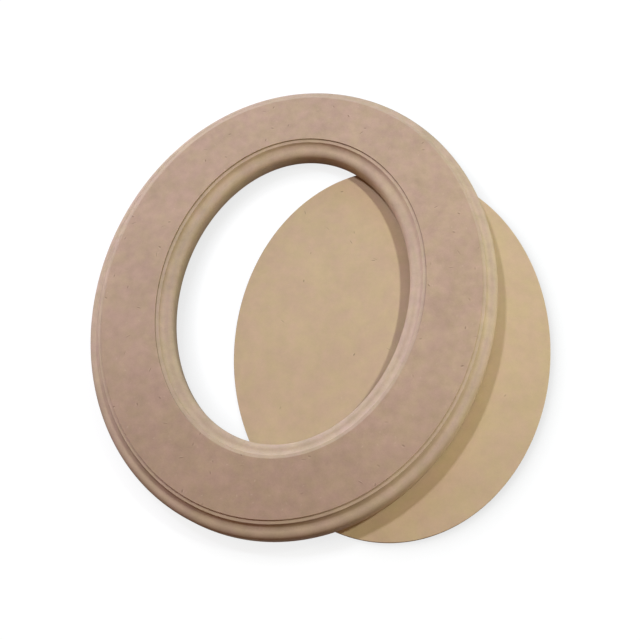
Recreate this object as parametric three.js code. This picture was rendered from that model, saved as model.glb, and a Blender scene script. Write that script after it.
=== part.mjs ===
// Oval picture frame of raw fibreboard with its loose back panel, as the two lie on a table:
// the panel flat on the table, and the frame half over it, leaning on its rim.
// Millimetres, +Z up. The origin is the middle of the panel's underside, X runs across the
// oval frame and Y along it.
import * as THREE from 'three';

// Opening, and the rail round it
const OPENING_WIDTH = 145;
const OPENING_LENGTH = 195;
const RAIL_WIDTH = 52.5;
const RAIL_THICKNESS = 18;

// Ogee moulding, cut alike along the opening and along the outside
const STEP_DEPTH = 1;
const LEDGE_WIDTH = 2;
const COVE_RADIUS = 3.75;
const BEAD_RADIUS = 3.75;

// Back panel, and the rebate in the frame's back that takes it
const PANEL_THICKNESS = 3;
const PANEL_OVERLAP = 23;
const PANEL_EASING = 0.3;
const REBATE_CLEARANCE = 0.75;
const PICTURE_ROOM = 0.2;

// How the loose frame lies on the panel
const FRAME_SHIFT_X = -63.6;
const FRAME_SHIFT_Y = 19.2;
const PANEL_TURN_DEGREES = 4.5;
const REST_GAP = 0.3;

// Fineness of the facets
const OVAL_STEPS = 128;
const ARC_STEPS = 6;

// Sizes that follow from these
const MOULDING_WIDTH = BEAD_RADIUS + COVE_RADIUS + LEDGE_WIDTH;
const LEDGE_HEIGHT = RAIL_THICKNESS - STEP_DEPTH;
const BEAD_FOOT = LEDGE_HEIGHT - COVE_RADIUS - BEAD_RADIUS;
const REBATE_REACH = PANEL_OVERLAP + REBATE_CLEARANCE;
const REBATE_DEPTH = PANEL_THICKNESS + PICTURE_ROOM;

const frameBoard = new THREE.MeshStandardMaterial({ color: 0xbba28b, roughness: 0.85, metalness: 0 });
const panelBoard = new THREE.MeshStandardMaterial({ color: 0xc5ac89, roughness: 0.8, metalness: 0 });

/** One point of the oval that keeps a set distance, its reach, outside the opening all round. */
function ovalPoint(step, reach) {
  const angle = (step / OVAL_STEPS) * 2 * Math.PI;
  const halfWidth = OPENING_WIDTH / 2;
  const halfLength = OPENING_LENGTH / 2;
  const point = new THREE.Vector2(halfWidth * Math.cos(angle), halfLength * Math.sin(angle));
  const outward = new THREE.Vector2(Math.cos(angle) / halfWidth, Math.sin(angle) / halfLength).normalize();
  return point.addScaledVector(outward, reach);
}

/** The whole oval at that reach, anticlockwise. */
function ovalOutline(reach) {
  return Array.from({ length: OVAL_STEPS }, (_, step) => ovalPoint(step, reach));
}

/** Section of the ogee beside the opening: bead, cove, ledge and step, from the bead's foot to the face. */
function mouldingSection() {
  const bead = new THREE.EllipseCurve(
    BEAD_RADIUS, BEAD_FOOT, BEAD_RADIUS, BEAD_RADIUS, Math.PI, Math.PI / 2, true,
  );
  const cove = new THREE.EllipseCurve(
    BEAD_RADIUS, LEDGE_HEIGHT, COVE_RADIUS, COVE_RADIUS, -Math.PI / 2, 0, false,
  );
  return [
    ...bead.getPoints(ARC_STEPS),
    ...cove.getPoints(ARC_STEPS).slice(1),
    new THREE.Vector2(MOULDING_WIDTH, LEDGE_HEIGHT),
    new THREE.Vector2(MOULDING_WIDTH, RAIL_THICKNESS),
  ];
}

/** Closed section of the rail: moulding, flat face, moulding mirrored, back and rebate. */
function railSection() {
  const inside = mouldingSection();
  const outside = inside.map((point) => new THREE.Vector2(RAIL_WIDTH - point.x, point.y)).reverse();
  return [
    new THREE.Vector2(0, REBATE_DEPTH),
    ...inside,
    ...outside,
    new THREE.Vector2(RAIL_WIDTH, 0),
    new THREE.Vector2(REBATE_REACH, 0),
    new THREE.Vector2(REBATE_REACH, REBATE_DEPTH),
  ];
}

/** Solid ring of a closed section carried round the oval, with the section's x as its reach. */
function carryRound(section) {
  const count = section.length;
  const positions = [];
  const triangles = [];
  for (let step = 0; step < OVAL_STEPS; step += 1) {
    const here = step * count;
    const ahead = ((step + 1) % OVAL_STEPS) * count;
    section.forEach((corner, i) => {
      const next = (i + 1) % count;
      const { x, y } = ovalPoint(step, corner.x);
      positions.push(x, y, corner.y);
      triangles.push(here + i, here + next, ahead + i);
      triangles.push(here + next, ahead + next, ahead + i);
    });
  }
  const ring = new THREE.BufferGeometry();
  ring.setAttribute('position', new THREE.Float32BufferAttribute(positions, 3));
  ring.setIndex(triangles);
  ring.computeVertexNormals();
  return ring;
}

/** Oval board with eased edges, standing on z = 0. */
function panelBody() {
  const board = new THREE.ExtrudeGeometry(new THREE.Shape(ovalOutline(PANEL_OVERLAP)), {
    depth: PANEL_THICKNESS - 2 * PANEL_EASING,
    bevelThickness: PANEL_EASING,
    bevelSize: PANEL_EASING,
    bevelOffset: -PANEL_EASING,
    bevelSegments: 1,
  });
  return board.translate(0, 0, PANEL_EASING);
}

/** True where a point lies inside a convex outline that runs anticlockwise. */
function encloses(outline, point) {
  return outline.every((corner, i) => {
    const side = outline[(i + 1) % outline.length].clone().sub(corner);
    return side.cross(point.clone().sub(corner)) > 0;
  });
}

/** Where the frame's flat back can touch: its rim on the table, its land on the panel's top. */
function frameSupports(shift, panelTurn) {
  const rim = ovalOutline(RAIL_WIDTH);
  const rebate = ovalOutline(REBATE_REACH);
  const middle = new THREE.Vector2();
  const panel = ovalOutline(PANEL_OVERLAP - PANEL_EASING).map((point) =>
    point.rotateAround(middle, panelTurn).sub(shift),
  );
  const overPanel = [
    ...panel.filter((point) => encloses(rim, point) && !encloses(rebate, point)),
    ...rim.filter((point) => encloses(panel, point)),
    ...rebate.filter((point) => encloses(panel, point)),
  ];
  return [
    ...rim.map((point) => new THREE.Vector3(point.x, point.y, 0)),
    ...overPanel.map((point) => new THREE.Vector3(point.x, point.y, PANEL_THICKNESS + REST_GAP)),
  ];
}

/** Where a body with its weight over the middle settles: on the highest three supports round it. */
function restingPlane(supports) {
  const rest = { height: -Infinity, plane: new THREE.Plane() };
  for (let i = 0; i < supports.length; i += 1) {
    for (let j = i + 1; j < supports.length; j += 1) {
      for (let k = j + 1; k < supports.length; k += 1) {
        const [a, b, c] = [supports[i], supports[j], supports[k]];
        const shareOfC = a.x * b.y - a.y * b.x;
        const shareOfA = b.x * c.y - b.y * c.x;
        const shareOfB = c.x * a.y - c.y * a.x;
        const shares = [shareOfA, shareOfB, shareOfC];
        const around = Math.min(...shares) > 0 || Math.max(...shares) < 0;
        const height = (shareOfA * a.z + shareOfB * b.z + shareOfC * c.z) / (shareOfA + shareOfB + shareOfC);
        if (around && height > rest.height) {
          rest.height = height;
          rest.plane.setFromCoplanarPoints(a, b, c);
        }
      }
    }
  }
  if (rest.plane.normal.z < 0) {
    rest.plane.negate();
  }
  return rest;
}

const panelTurn = THREE.MathUtils.degToRad(PANEL_TURN_DEGREES);
const frameShift = new THREE.Vector2(FRAME_SHIFT_X, FRAME_SHIFT_Y);

const backPanel = new THREE.Mesh(panelBody(), panelBoard);
backPanel.name = 'back_panel';
backPanel.rotation.z = panelTurn;

const ovalFrame = new THREE.Mesh(carryRound(railSection()), frameBoard);
ovalFrame.name = 'oval_frame';

const rest = restingPlane(frameSupports(frameShift, panelTurn));
const leaningFrame = new THREE.Group();
leaningFrame.add(ovalFrame);
leaningFrame.position.set(frameShift.x, frameShift.y, rest.height);
leaningFrame.quaternion.setFromUnitVectors(new THREE.Vector3(0, 0, 1), rest.plane.normal);

const pictureFrame = new THREE.Group();
pictureFrame.add(backPanel, leaningFrame);

export default pictureFrame;
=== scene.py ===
"""Raw fibreboard oval picture frame, lying face up and half over its loose oval back panel."""

import math

import bpy
import numpy as np
from mathutils import Matrix, Vector


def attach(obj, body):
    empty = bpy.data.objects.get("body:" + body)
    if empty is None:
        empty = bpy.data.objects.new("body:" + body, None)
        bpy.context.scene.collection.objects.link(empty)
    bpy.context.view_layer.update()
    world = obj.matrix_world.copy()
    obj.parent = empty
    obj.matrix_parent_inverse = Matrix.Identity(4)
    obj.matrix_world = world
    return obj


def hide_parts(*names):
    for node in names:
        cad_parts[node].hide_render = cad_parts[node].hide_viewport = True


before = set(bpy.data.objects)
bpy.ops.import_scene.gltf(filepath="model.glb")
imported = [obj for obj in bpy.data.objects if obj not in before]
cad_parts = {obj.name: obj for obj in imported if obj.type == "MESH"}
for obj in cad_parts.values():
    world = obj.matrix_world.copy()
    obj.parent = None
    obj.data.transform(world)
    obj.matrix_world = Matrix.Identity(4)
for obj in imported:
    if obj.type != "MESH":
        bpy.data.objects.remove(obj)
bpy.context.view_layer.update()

MM = 0.001
WHITE = (1.0, 1.0, 1.0, 1.0)

# Oval opening and the rail round it, in millimetres
OPENING_WIDTH = 145.0
OPENING_LENGTH = 195.0
RAIL_WIDTH = 52.5
RAIL_THICKNESS = 18.0

# Ogee moulding along the opening and along the outside, in millimetres
STEP_DEPTH = 1.0
LEDGE_WIDTH = 2.0
LEDGE_FALL = 0.4
COVE_RADIUS = 3.75
BEAD_RADIUS = 3.75

# Back panel and the rebate that takes it, in millimetres
PANEL_THICKNESS = 3.0
PANEL_OVERLAP = 23.0
REBATE_CLEARANCE = 0.75
PICTURE_ROOM = 0.2

# How far from its tip each kind of corner is rounded, in millimetres
ARRIS_EASING = 0.3
MOULDING_EASING = 0.21
STEP_EASING = 0.12
REBATE_EASING = 0.2
PANEL_EASING = 0.3

# How the loose pieces lie: the panel's turn on the table, the middle of the frame's back in
# millimetres, and the way the frame's face looks as it leans on the panel
PANEL_TURN = math.radians(4.5)
FRAME_MIDDLE = np.array([-63.6, 19.2, 2.5683])
FACE_NORMAL = Vector((-0.0200897, 0.0035450, 0.9997919))

# Points of the rail's section: on an arc, on a rounded corner, on a tight corner, and inside each
# flat run, which keeps a margin in millimetres from the rounded corners
ARC_POINTS = 14
EASED_POINTS = 5
TIGHT_POINTS = 3
WALL_POINTS = 4
FACE_POINTS = 10
OUTER_WALL_POINTS = 6
BACK_POINTS = 6
REBATE_POINTS = 5
RUN_MARGIN = 1.0

# Steps round each piece, and the panel's flat rings as shares of an oval that lies the inset
# inside its rim
RING_STEPS = 640
PANEL_STEPS = 480
PANEL_RINGS = np.array([0.08, 0.2, 0.35, 0.5, 0.65, 0.78, 0.88, 0.95, 0.985])
PANEL_INSET = 3 * PANEL_EASING

# How far the router cut a run of the section, and how close to the face, in millimetres, a point
# still counts as the face
UNCUT = 0.0
EDGE_CUT = 0.6
REBATE_CUT = 0.8
CUT = 1.0
FACE_SKIN = 0.02

# Painted shade: how far each point of the step's corner and of the face's arris lies in the shade of
# the tight corner, the outside moulding's share of that, and how dark the painted shade makes the
# opening's wall towards its foot
CORNER_SHADE = (0.1, 0.6, 1.0, 1.0, 1.0)
ARRIS_SHADE = (1.0, 0.7, 0.35, 0.1, 0.0, 0.0, 0.0)
STEP_SHADE = CORNER_SHADE + ARRIS_SHADE
OUTER_SHADE = 0.15
WALL_SHADE = 0.75

# Boards: screen colours of the face and of a cut, the share of cells that hold a speck, the
# contrast of the mottling, and the share of the painted shade towards the near end
FRAME_BOARD = ((187, 161, 140), (195, 173, 152), 0.27, 1.0, 1.0)
PANEL_BOARD = ((205, 181, 149), (190, 165, 134), 0.08, 0.55, 0.0)

# Clouds in a board: size in millimetres, detail and roughness, then the value they vary about and
# how much each changes the tone
PATCHES = (24.0, 2.0, 0.6)
HUES = (11.0, 3.0, 0.6)
MOTTLE = (6.0, 3.0, 0.65)
FELT = (0.9, 3.0, 0.7)
CLOUD_MEAN = 0.5
PATCH_TONE = 0.28
MOTTLE_TONE = 0.3
FELT_TONE = 0.2

# Hue of the felted patches, as shares of the board's own colour, and where one turns to the other
PINKISH = (1.018, 0.975, 1.028, 1.0)
YELLOWISH = (0.997, 1.015, 0.948, 1.0)
HUE_TURN = (0.3, 0.7)

# Painted shade: the frame's board is painted a little darker towards its near end, where less
# light falls: between which distances from the origin, in metres, and to what share of its colour
NEAR_END_SHADE_SPAN = (0.0, 0.14)
NEAR_END_SHADE_TONE = (0.865, 0.832, 0.815, 1.0)

# Fibre specks: spacing, width and length in millimetres, and where their cell pattern starts. Then
# how that start differs across, how strong the faintest speck is, between which radii its edge
# fades, and how far aside the painted highlight on its lip lies, both as shares of its half width
DARK_SPECKS = (13.0, 1.1, 2.5, 3.1)
FIBRE_SPECKS = (17.0, 0.7, 4.0, 7.7)
LIGHT_SPECKS = (9.0, 1.0, 1.9, 11.3)
START_SKEW = 1.7
FAINTEST_SPECK = 0.3
SPECK_EDGE = (0.35, 1.0)
HIGHLIGHT_ASIDE = 1.5

# Screen colours that mark the board, and how strongly: painted shade in the corners, dark
# specks, and light specks, whose colour also paints the highlights on the lips of pits
PAINTED_CORNER_SHADE_COLOUR = (96, 72, 56)
SPECK_COLOUR = (105, 80, 62)
LIGHT_AND_HIGHLIGHT_COLOUR = (226, 205, 182)
PAINTED_CORNER_SHADE_SHARE = 0.5
DARK_SHARE = 0.6
FIBRE_SHARE = 0.5
LIGHT_SHARE = 0.22
HIGHLIGHT_SHARE = 0.18

# Relief of the board, in shares of a height in millimetres, and its roughness and gloss
RELIEF_FELT = 0.6
RELIEF_MOTTLE = 0.4
RELIEF_LIGHT = 0.3
RELIEF_PIT = 0.8
RELIEF_HEIGHT = 0.15
RELIEF_STRENGTH = 0.35
FACE_ROUGHNESS = 0.78
CUT_ROUGHNESS = 0.12
FELT_ROUGHNESS = 0.2
BOARD_GLOSS = 0.25

# Table: half its width in metres, its colour to rays that light the object, and to the camera its
# glow, the colour that takes the shadows, and from and to how many metres away it turns plain white
TABLE_HALF = 4.0
TABLE_MATT = (0.1, 0.1, 0.1, 1.0)
TABLE_GLOW = 0.92
TABLE_SHADED = (0.14, 0.15, 0.16, 1.0)
TABLE_FADE = (0.25, 0.6)

# Soft shade on the table beside the object: its glow, how near in metres and which way the object
# is looked for, by how many rays, and how fast the shade deepens as more of that side is hidden
SHADE_GLOW = 0.78
SHADE_REACH = 0.015
SHADE_SIDE = (-0.88, 0.25, 0.4)
SHADE_RAYS = 16
SHADE_GAIN = 1.9

# Lamps: compass direction and height in degrees, distance and width in metres, colour, watts
LAMPS = {
    "left_lamp": (-52.0, 61.0, 1.2, 0.12, (0.85, 0.88, 1.0), 5.6),
    "right_lamp": (66.0, 57.0, 0.75, 0.06, (0.91, 1.0, 0.88), 2.08),
    "left_window": (-60.0, 10.0, 0.9, 0.3, (0.87, 0.89, 1.0), 5.15),
    "right_window": (83.0, 10.0, 0.55, 0.18, (0.92, 1.0, 0.7), 0.84),
    "far_window": (0.0, 25.0, 1.2, 0.6, (0.1, 0.5, 1.0), 2.83),
}
SKY_COLOUR = (0.192, 0.096, 0.054, 1.0)

# Camera: where it looks and from how far, in millimetres, and at what slant
CAMERA_AIM = (-44.65, 6.69, 0.0)
CAMERA_AZIMUTH = math.radians(20.74)
CAMERA_ELEVATION = math.radians(67.27)
CAMERA_ROLL = math.radians(-11.81)
CAMERA_DISTANCE = 465.09
CAMERA_FOCAL_PIXELS = 744.75
CAMERA_NEAREST = 10.0
IMAGE_PIXELS = 640
SENSOR_WIDTH = 36.0

# Sockets of Blender's Mix node when it mixes colours
MIX_SHARE, MIX_FIRST, MIX_SECOND = 0, 6, 7
MIX_RESULT = 2

# Curve of screen colours: a straight foot, and a power above it
CURVE_FOOT = 0.04045
CURVE_SLOPE = 12.92
CURVE_OFFSET = 0.055
CURVE_POWER = 2.4
SCREEN_WHITE = 255.0


def oval(steps, reach):
    """Ovals at several distances outside the opening, as an array [step, reach, xy].

    Each is the opening's ellipse (a cos t, b sin t) moved out by reach times its unit normal,
    which points along (cos t / a, sin t / b), so all the ovals are parallel curves.
    """
    turn = np.linspace(0.0, 2.0 * np.pi, steps, endpoint=False)
    halves = np.array([OPENING_WIDTH, OPENING_LENGTH]) / 2.0
    circle = np.stack([np.cos(turn), np.sin(turn)], axis=-1)
    outward = circle / halves
    outward /= np.linalg.norm(outward, axis=1, keepdims=True)
    return (circle * halves)[:, None, :] + outward[:, None, :] * np.asarray(reach)[None, :, None]


def arc(centre, radius, first, last):
    """Points centre + radius (cos q, sin q) for q from first to last."""
    angle = np.linspace(first, last, ARC_POINTS)
    return np.asarray(centre) + radius * np.stack([np.cos(angle), np.sin(angle)], axis=-1)


def eased_corner(before, corner, after, setback, count=EASED_POINTS):
    """A corner rounded by the parabola (1-t)^2 A + 2t(1-t) C + t^2 B.

    A and B lie setback away from the corner C on its two sides. One more point on each side,
    a setback further out, keeps the flats beside the corner flat when they are shaded smooth.
    """
    before, corner, after = (np.asarray(p, float) for p in (before, corner, after))
    into = (before - corner) / np.linalg.norm(before - corner)
    out = (after - corner) / np.linalg.norm(after - corner)
    t = np.linspace(0.0, 1.0, count)[:, None]
    start = corner + setback * into
    end = corner + setback * out
    curve = (1 - t) ** 2 * start + 2 * t * (1 - t) * corner + t**2 * end
    return np.concatenate([[start + setback * into], curve, [end + setback * out]])


def flat_run(first, last, count):
    """Points (1-s) first + s last at even shares s between two ends, without the ends."""
    share = np.linspace(0.0, 1.0, count + 2)[1:-1, None]
    return (1 - share) * np.asarray(first) + share * np.asarray(last)


def rail_section():
    """Closed section of the rail as points (reach, height), with two values from 0 to 1 at each:
    how far the router cut it, and how far painted shade darkens it, in the tight corner under the
    step and towards the foot of the opening's wall.

    It runs from the rebate up the opening's wall, over bead, cove, ledge and step to the face,
    across the face, down the same moulding mirrored, and back under the rail. The cove's arc ends
    where it meets the ledge's fall, at the angle -asin(fall / radius).
    """
    top = RAIL_THICKNESS
    ledge = top - STEP_DEPTH
    foot = ledge - COVE_RADIUS - BEAD_RADIUS
    width = BEAD_RADIUS + COVE_RADIUS + LEDGE_WIDTH
    rebate = PANEL_THICKNESS + PICTURE_ROOM
    land = PANEL_OVERLAP + REBATE_CLEARANCE
    cove_end = -math.asin(LEDGE_FALL / COVE_RADIUS)
    brink = (BEAD_RADIUS + COVE_RADIUS * math.cos(cove_end), ledge - LEDGE_FALL)
    face_middle = (RAIL_WIDTH / 2.0, top)

    bead = arc((BEAD_RADIUS, foot), BEAD_RADIUS, math.pi, math.pi / 2)
    cove = arc((BEAD_RADIUS, ledge), COVE_RADIUS, -math.pi / 2, cove_end)[1:-1]
    ledge_arris = eased_corner(cove[-1], brink, (width, ledge), MOULDING_EASING)
    step_corner = eased_corner(brink, (width, ledge), (width, top), STEP_EASING, TIGHT_POINTS)
    face_arris = eased_corner((width, ledge), (width, top), face_middle, MOULDING_EASING)
    upper = np.concatenate([bead, cove, ledge_arris, step_corner, face_arris])
    tight = np.concatenate([np.zeros(len(upper) - len(STEP_SHADE)), STEP_SHADE])
    mirrored = upper[::-1] * (-1, 1) + (RAIL_WIDTH, 0)

    wall_bottom = eased_corner((land, rebate), (0, rebate), (0, foot), ARRIS_EASING)
    wall = flat_run((0, rebate + RUN_MARGIN), (0, foot), WALL_POINTS)
    face_start = width + RUN_MARGIN
    face = flat_run((face_start, top), (RAIL_WIDTH - face_start, top), FACE_POINTS)
    outer_wall = flat_run((RAIL_WIDTH, foot), (RAIL_WIDTH, RUN_MARGIN), OUTER_WALL_POINTS)
    outer_bottom = eased_corner((RAIL_WIDTH, foot), (RAIL_WIDTH, 0), (land, 0), ARRIS_EASING)
    back = flat_run((RAIL_WIDTH - RUN_MARGIN, 0), (land + RUN_MARGIN, 0), BACK_POINTS)
    land_edge = eased_corner((RAIL_WIDTH, 0), (land, 0), (land, rebate), ARRIS_EASING)
    rebate_corner = eased_corner((land, 0), (land, rebate), (0, rebate), REBATE_EASING, TIGHT_POINTS)
    rebate_floor = flat_run((land - RUN_MARGIN, rebate), (RUN_MARGIN, rebate), REBATE_POINTS)

    runs = [
        (wall_bottom, EDGE_CUT),
        (wall, CUT),
        (upper, CUT),
        (face, UNCUT),
        (mirrored, CUT),
        (outer_wall, CUT),
        (outer_bottom, EDGE_CUT),
        (back, UNCUT),
        (land_edge, CUT),
        (rebate_corner, CUT),
        (rebate_floor, REBATE_CUT),
    ]
    section = np.concatenate([run for run, share in runs])
    routed = np.concatenate([np.full(len(run), share) for run, share in runs])
    routed[section[:, 1] > top - FACE_SKIN] = UNCUT

    # Painted shade: darker in the tight corner under the step, less on the outside moulding, and
    # towards the foot of the opening's wall
    corner = np.zeros(len(section))
    inner = len(wall_bottom) + len(wall)
    outer = inner + len(upper) + len(face)
    # Painted shade: the opening's wall darker towards its foot
    corner[:inner] = WALL_SHADE * (foot - section[:inner, 1]) / (foot - rebate)
    corner[inner:inner + len(upper)] = tight
    corner[outer:outer + len(upper)] = tight[::-1] * OUTER_SHADE
    return section, routed, corner


def lay_frame(points):
    """Points of the frame's own axes, in millimetres, where the frame leans on the panel, in metres."""
    lean = np.array(Vector((0, 0, 1)).rotation_difference(FACE_NORMAL).to_matrix())
    return (points @ lean.T + FRAME_MIDDLE) * MM


def quads_round(steps, count, closed):
    """Corner numbers of the quads between neighbouring steps of a grid [step, count]."""
    items = np.arange(count if closed else count - 1)
    step, item = np.meshgrid(np.arange(steps), items, indexing="ij")
    ahead = (step + 1) % steps
    after = (item + 1) % count
    corners = [step * count + item, step * count + after, ahead * count + after, ahead * count + item]
    return np.stack(corners, axis=-1).reshape(-1, 4)


def mesh_piece(name, points, faces, attributes):
    """A smooth-shaded object at the origin from points [n, 3] in metres and lists of corner numbers."""
    mesh = bpy.data.meshes.new(name)
    mesh.from_pydata(points, [], faces)
    mesh.polygons.foreach_set("use_smooth", np.ones(len(faces), bool))
    for label, values in attributes.items():
        layer = mesh.attributes.new(label, "FLOAT", "POINT")
        layer.data.foreach_set("value", np.asarray(values, np.float32))
    mesh.update()
    piece = bpy.data.objects.new(name, mesh)
    bpy.context.scene.collection.objects.link(piece)
    return piece


def make_frame():
    """The section carried round the oval: point(step, i) = oval(step, reach_i) at height_i."""
    section, routed, corner = rail_section()
    flat = oval(RING_STEPS, section[:, 0])
    height = np.broadcast_to(section[:, 1], flat.shape[:2])
    points = lay_frame(np.concatenate([flat, height[..., None]], axis=-1).reshape(-1, 3))
    faces = quads_round(RING_STEPS, len(section), True)
    # The corner attribute carries the painted shade of the step's corner and of the wall's foot
    attributes = {"routed": np.tile(routed, RING_STEPS), "corner": np.tile(corner, RING_STEPS)}
    return mesh_piece("moulded_frame", points, faces.tolist(), attributes)


def make_panel():
    """Rings of growing size over the top, round the eased rim and back over the underside.

    A flat ring of share s is s times the oval that lies the inset inside the rim. The two middles
    are single points that close the top and the underside.
    """
    top = PANEL_THICKNESS
    rim = PANEL_OVERLAP
    upper = eased_corner((0, top), (rim, top), (rim, 0), PANEL_EASING)
    lower = eased_corner((rim, top), (rim, 0), (0, 0), PANEL_EASING)
    edge = np.concatenate([upper, lower])
    rim_oval = oval(PANEL_STEPS, edge[:, 0])
    inside = oval(PANEL_STEPS, [rim - PANEL_INSET]) * PANEL_RINGS[None, :, None]
    flat = np.concatenate([inside, rim_oval, inside[:, ::-1]], axis=1)
    level = np.full(len(PANEL_RINGS), top)
    uncut = np.full(len(PANEL_RINGS), UNCUT)
    height = np.concatenate([level, edge[:, 1], np.zeros(len(PANEL_RINGS))])
    cut = np.concatenate([uncut, np.where(edge[:, 1] < top - FACE_SKIN, CUT, UNCUT), uncut])
    count = len(height)
    turn = np.array([
        [math.cos(PANEL_TURN), -math.sin(PANEL_TURN)],
        [math.sin(PANEL_TURN), math.cos(PANEL_TURN)],
    ])
    heights = np.broadcast_to(height, flat.shape[:2])
    points = np.concatenate([flat @ turn.T, heights[..., None]], axis=-1).reshape(-1, 3)
    middles = np.array([[0.0, 0.0, top], [0.0, 0.0, 0.0]])
    top_middle = len(points)
    under_middle = top_middle + 1
    first = np.arange(PANEL_STEPS) * count
    ahead = np.roll(first, -1)
    last = count - 1
    caps = [
        np.stack([np.full(PANEL_STEPS, top_middle), first, ahead], axis=-1),
        np.stack([np.full(PANEL_STEPS, under_middle), ahead + last, first + last], axis=-1),
    ]
    walls = quads_round(PANEL_STEPS, count, False)
    faces = walls.tolist() + [corner for cap in caps for corner in cap.tolist()]
    attributes = {"routed": np.concatenate([np.tile(cut, PANEL_STEPS), [UNCUT, UNCUT]])}
    return mesh_piece("loose_panel", np.concatenate([points, middles]) * MM, faces, attributes)


class Shade:
    """A socket of a node tree. Arithmetic on it adds Math nodes; add() makes any other node."""

    def __init__(self, tree, socket=None):
        self.tree = tree
        self.socket = socket

    def add(self, kind, inputs, output=0, **settings):
        """A node with its settings, then its inputs by name or number; gives one of its outputs."""
        node = self.tree.nodes.new(kind)
        for name, value in settings.items():
            setattr(node, name, value)
        for name, value in inputs.items():
            if isinstance(value, Shade):
                self.tree.links.new(value.socket, node.inputs[name])
            else:
                node.inputs[name].default_value = value
        return Shade(self.tree, node.outputs[output] if node.outputs else None)

    def maths(self, operation, first, second):
        """A Math node on two values."""
        return self.add("ShaderNodeMath", {0: first, 1: second}, operation=operation)

    def __add__(self, other):
        return self.maths("ADD", self, other)

    def __radd__(self, other):
        return self.maths("ADD", other, self)

    def __sub__(self, other):
        return self.maths("SUBTRACT", self, other)

    def __rsub__(self, other):
        return self.maths("SUBTRACT", other, self)

    def __mul__(self, other):
        return self.maths("MULTIPLY", self, other)

    def __rmul__(self, other):
        return self.maths("MULTIPLY", other, self)

    def __gt__(self, other):
        return self.maths("GREATER_THAN", self, other)

    def ramp(self, low, high):
        """0 below low, 1 above high, smooth between."""
        values = {"Value": self, "From Min": low, "From Max": high}
        return self.add("ShaderNodeMapRange", values, interpolation_type="SMOOTHSTEP")

    def blend(self, share, first, second, way="MIX"):
        """Two colours blended from the first to the second by share."""
        values = {MIX_SHARE: share, MIX_FIRST: first, MIX_SECOND: second}
        return self.add("ShaderNodeMix", values, MIX_RESULT, data_type="RGBA", blend_type=way)

    def mix(self, share, colour):
        """This colour blended towards another by share."""
        return self.blend(share, self, colour)

    def times(self, colour):
        """This colour multiplied by another."""
        return self.blend(1.0, self, colour, "MULTIPLY")


def srgb(screen_colour):
    """Linear colour of a screen colour given from 0 to 255: the usual curve with its straight foot."""
    value = np.array(screen_colour) / SCREEN_WHITE
    foot = value / CURVE_SLOPE
    above = ((value + CURVE_OFFSET) / (1.0 + CURVE_OFFSET)) ** CURVE_POWER
    return (*np.where(value <= CURVE_FOOT, foot, above).tolist(), 1.0)


def new_tree(owner):
    """The emptied node tree of a material or a world, ready for nodes."""
    owner.use_nodes = True
    owner.node_tree.nodes.clear()
    return Shade(owner.node_tree)


def specks(tree, place, share, spacing, width, length, start):
    """Sparse fibre specks: a stretched spot turned at random in some cells of a 2-D cell pattern.

    The spot is 1 where the turned offset from the cell's own point, divided by the half length
    and the half width, is short. A second spot beside it is a painted highlight, the lit lip of a pit.
    """
    shift = (start, start * START_SKEW, 0.0)
    moved = tree.add("ShaderNodeVectorMath", {0: place, 1: shift}, operation="ADD")
    cells = {"Vector": moved, "Scale": 1.0 / (spacing * MM), "Randomness": 1.0}
    near = tree.add("ShaderNodeTexVoronoi", cells, "Position", voronoi_dimensions="2D")
    chance = tree.add("ShaderNodeTexVoronoi", cells, "Color", voronoi_dimensions="2D")
    offset = tree.add("ShaderNodeVectorMath", {0: moved, 1: near}, operation="SUBTRACT")
    parts = tree.add("ShaderNodeSeparateColor", {0: chance}).socket.node.outputs
    pick, spin, size = (Shade(tree.tree, part) for part in parts)
    turning = {"Vector": offset, "Axis": (0.0, 0.0, 1.0), "Angle": spin * math.tau}
    turned = tree.add("ShaderNodeVectorRotate", turning, rotation_type="AXIS_ANGLE")
    halves = (2.0 / (length * MM), 2.0 / (width * MM), 0.0)
    scaled = tree.add("ShaderNodeVectorMath", {0: turned, 1: halves}, operation="MULTIPLY")
    strength = (pick > 1.0 - share) * (FAINTEST_SPECK + (1.0 - FAINTEST_SPECK) * size)

    def spot(aside):
        placed = tree.add("ShaderNodeVectorMath", {0: scaled, 1: (0.0, aside, 0.0)}, operation="ADD")
        far = tree.add("ShaderNodeVectorMath", {0: placed}, "Value", operation="LENGTH")
        return (1 - far.ramp(*SPECK_EDGE)) * strength

    # The second spot is a painted highlight on the pit's lip
    return spot(0.0), spot(HIGHLIGHT_ASIDE)


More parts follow.
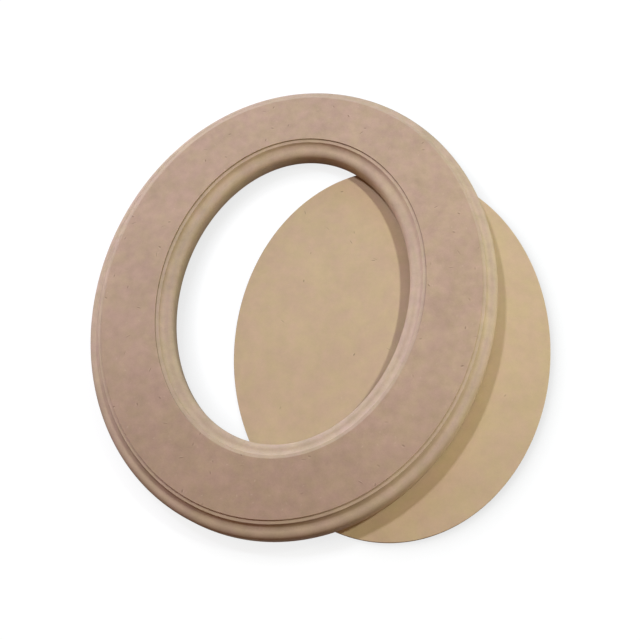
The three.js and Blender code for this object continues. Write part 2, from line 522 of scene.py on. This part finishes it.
def fibreboard(name, face_colour, cut_colour, speck_share, contrast, near_end_shade_share):
    """Raw fibreboard: mottled felted fibres, sparse dark and light specks with a painted highlight
    beside each pit, rougher cut edges, and painted shade in the corners and towards the near end.
    """
    material = bpy.data.materials.new(name)
    tree = new_tree(material)
    place = tree.add("ShaderNodeTexCoord", {}, "Object")
    routed = tree.add("ShaderNodeAttribute", {}, "Fac", attribute_name="routed")
    # Painted shade from the section: darker in the tight corner under the step and at the wall's foot
    corner = tree.add("ShaderNodeAttribute", {}, "Fac", attribute_name="corner")
    along = tree.add("ShaderNodeSeparateXYZ", {0: place}, "Y")
    flat = 1 - routed

    def cloud(size, detail, roughness):
        values = {"Vector": place, "Scale": 1.0 / (size * MM), "Detail": detail, "Roughness": roughness}
        return tree.add("ShaderNodeTexNoise", values)

    patches = cloud(*PATCHES)
    hue = cloud(*HUES)
    mottle = cloud(*MOTTLE)
    felt = cloud(*FELT)
    dark, dark_pit_highlight = specks(tree, place, speck_share, *DARK_SPECKS)
    fibre, fibre_pit_highlight = specks(tree, place, speck_share, *FIBRE_SPECKS)
    light = specks(tree, place, speck_share, *LIGHT_SPECKS)[0]

    base = tree.blend(routed, srgb(face_colour), srgb(cut_colour))
    tint = tree.blend(hue.ramp(*HUE_TURN), PINKISH, YELLOWISH)
    broad = (patches - CLOUD_MEAN) * (PATCH_TONE * contrast)
    middling = (mottle - CLOUD_MEAN) * (MOTTLE_TONE * contrast)
    fine = (felt - CLOUD_MEAN) * (FELT_TONE * contrast)
    tone = 1 + broad + middling + fine
    grey = tree.add("ShaderNodeCombineColor", {0: tone, 1: tone, 2: tone})
    # Painted shade: the face darker towards the near end
    near_end_painted_shade = tree.blend((0 - along).ramp(*NEAR_END_SHADE_SPAN) * flat * near_end_shade_share, WHITE, NEAR_END_SHADE_TONE)
    toned = base.times(tint).times(grey).times(near_end_painted_shade)
    # Painted shade in the step's corner and at the foot of the opening's wall
    with_painted_corner_shade = toned.mix(corner * PAINTED_CORNER_SHADE_SHARE, srgb(PAINTED_CORNER_SHADE_COLOUR))
    marks = dark * DARK_SHARE + fibre * FIBRE_SHARE
    marked = with_painted_corner_shade.mix(marks * flat, srgb(SPECK_COLOUR))
    # Light specks, and painted highlights on the lips of pits
    light_specks_and_highlights = light * LIGHT_SHARE + (dark_pit_highlight + fibre_pit_highlight) * HIGHLIGHT_SHARE
    colour = marked.mix(light_specks_and_highlights * flat, srgb(LIGHT_AND_HIGHLIGHT_COLOUR))

    raised = felt * RELIEF_FELT + mottle * RELIEF_MOTTLE + light * RELIEF_LIGHT
    height = raised - (dark + fibre) * RELIEF_PIT
    relief = {"Strength": RELIEF_STRENGTH, "Distance": RELIEF_HEIGHT * MM, "Height": height}
    rough = FACE_ROUGHNESS + CUT_ROUGHNESS * routed + (felt - CLOUD_MEAN) * FELT_ROUGHNESS
    finish = {
        "Base Color": colour,
        "Roughness": rough,
        "Specular IOR Level": BOARD_GLOSS,
        "Normal": tree.add("ShaderNodeBump", relief),
    }
    surface = tree.add("ShaderNodeBsdfPrincipled", finish)
    tree.add("ShaderNodeOutputMaterial", {"Surface": surface})
    return material


def shown_rays(tree):
    """1 for the rays that show a background: the camera's own, and those in gloss and glass."""
    kinds = ("Is Camera Ray", "Is Glossy Ray", "Is Transmission Ray")
    camera, glossy, through = (tree.add("ShaderNodeLightPath", {}, kind) for kind in kinds)
    return tree.maths("MAXIMUM", tree.maths("MAXIMUM", camera, glossy), through)


def floor_finish():
    """White table. To the camera, and in gloss and glass, it glows a little, so that it shows white
    where it is lit and keeps the object's shadow. Close beside the object a soft shade deepens with
    how much of one side the object hides, and far away it is plain white. To all other rays it is
    a plain matt surface.
    """
    material = bpy.data.materials.new("white_table")
    tree = new_tree(material)
    place = tree.add("ShaderNodeTexCoord", {}, "Object")
    away = tree.add("ShaderNodeVectorMath", {0: place}, "Value", operation="LENGTH")
    matt = tree.add("ShaderNodeBsdfDiffuse", {"Color": TABLE_MATT})
    shaded = tree.add("ShaderNodeBsdfDiffuse", {"Color": TABLE_SHADED})
    glow = tree.add("ShaderNodeEmission", {"Color": WHITE, "Strength": TABLE_GLOW})
    near = tree.add("ShaderNodeAddShader", {0: shaded, 1: glow})
    plain = tree.add("ShaderNodeEmission", {"Color": WHITE, "Strength": 1.0})
    close = tree.add("ShaderNodeEmission", {"Color": WHITE, "Strength": SHADE_GLOW})
    side = tree.add("ShaderNodeCombineXYZ", dict(enumerate(SHADE_SIDE)))
    search = {"Distance": SHADE_REACH, "Normal": side}
    free = tree.add("ShaderNodeAmbientOcclusion", search, "AO", samples=SHADE_RAYS)
    beside = tree.add("ShaderNodeMixShader", {0: (1 - free) * SHADE_GAIN, 1: near, 2: close})
    shown = tree.add("ShaderNodeMixShader", {0: away.ramp(*TABLE_FADE), 1: beside, 2: plain})
    table = tree.add("ShaderNodeMixShader", {0: shown_rays(tree), 1: matt, 2: shown})
    tree.add("ShaderNodeOutputMaterial", {"Surface": table})
    return material


def make_floor():
    """A large square on the table's height."""
    half = TABLE_HALF
    corners = np.array([[-half, -half, 0], [half, -half, 0], [half, half, 0], [-half, half, 0]])
    floor = mesh_piece("table", corners, [[0, 1, 2, 3]], {})
    floor.data.materials.append(floor_finish())


def add_lamp(name, azimuth, elevation, distance, size, colour, power):
    """A round area lamp looking at the frame's middle from a compass direction and a height."""
    lamp = bpy.data.lights.new(name, "AREA")
    lamp.shape = "DISK"
    lamp.size = size
    lamp.color = colour
    lamp.energy = power
    side, rise = math.radians(azimuth), math.radians(elevation)
    level = math.cos(rise)
    ray = Vector((math.sin(side) * level, math.cos(side) * level, math.sin(rise)))
    holder = bpy.data.objects.new(name, lamp)
    holder.location = Vector(FRAME_MIDDLE * MM) + ray * distance
    holder.rotation_mode = "QUATERNION"
    holder.rotation_quaternion = ray.to_track_quat("Z", "Y")
    holder.visible_camera = False
    bpy.context.scene.collection.objects.link(holder)


def set_world():
    """An even sky that fills the shadows, and shows white to the camera and in gloss and glass."""
    world = bpy.data.worlds.new("even_sky")
    tree = new_tree(world)
    sky = tree.add("ShaderNodeBackground", {"Color": SKY_COLOUR, "Strength": 1.0})
    white = tree.add("ShaderNodeBackground", {"Color": WHITE, "Strength": 1.0})
    both = tree.add("ShaderNodeMixShader", {0: shown_rays(tree), 1: sky, 2: white})
    tree.add("ShaderNodeOutputWorld", {"Surface": both})
    bpy.context.scene.world = world


def set_camera():
    """A camera that looks at the aim point, turned about its own axis by the roll."""
    slant = math.cos(CAMERA_ELEVATION)
    back = Vector((
        math.sin(CAMERA_AZIMUTH) * slant,
        -math.cos(CAMERA_AZIMUTH) * slant,
        math.sin(CAMERA_ELEVATION),
    ))
    level = Vector((math.cos(CAMERA_AZIMUTH), math.sin(CAMERA_AZIMUTH), 0.0))
    above = back.cross(level)
    right = math.cos(CAMERA_ROLL) * level + math.sin(CAMERA_ROLL) * above
    up = back.cross(right)
    data = bpy.data.cameras.new("camera")
    data.sensor_width = SENSOR_WIDTH
    data.lens = CAMERA_FOCAL_PIXELS / IMAGE_PIXELS * SENSOR_WIDTH
    data.clip_start = CAMERA_NEAREST * MM
    camera = bpy.data.objects.new("camera", data)
    place = (Vector(CAMERA_AIM) + back * CAMERA_DISTANCE) * MM
    camera.matrix_world = Matrix.Translation(place) @ Matrix((right, up, back)).transposed().to_4x4()
    bpy.context.scene.collection.objects.link(camera)
    bpy.context.scene.camera = camera


moulded_frame = make_frame()
moulded_frame.data.materials.append(fibreboard("frame_fibreboard", *FRAME_BOARD))
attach(moulded_frame, "frame")
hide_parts("oval_frame")

loose_panel = make_panel()
loose_panel.data.materials.append(fibreboard("panel_fibreboard", *PANEL_BOARD))
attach(loose_panel, "panel")
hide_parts("back_panel")

make_floor()
for lamp_name, settings in LAMPS.items():
    add_lamp(lamp_name, *settings)
set_world()
set_camera()
bpy.context.scene.view_settings.view_transform = "Standard"
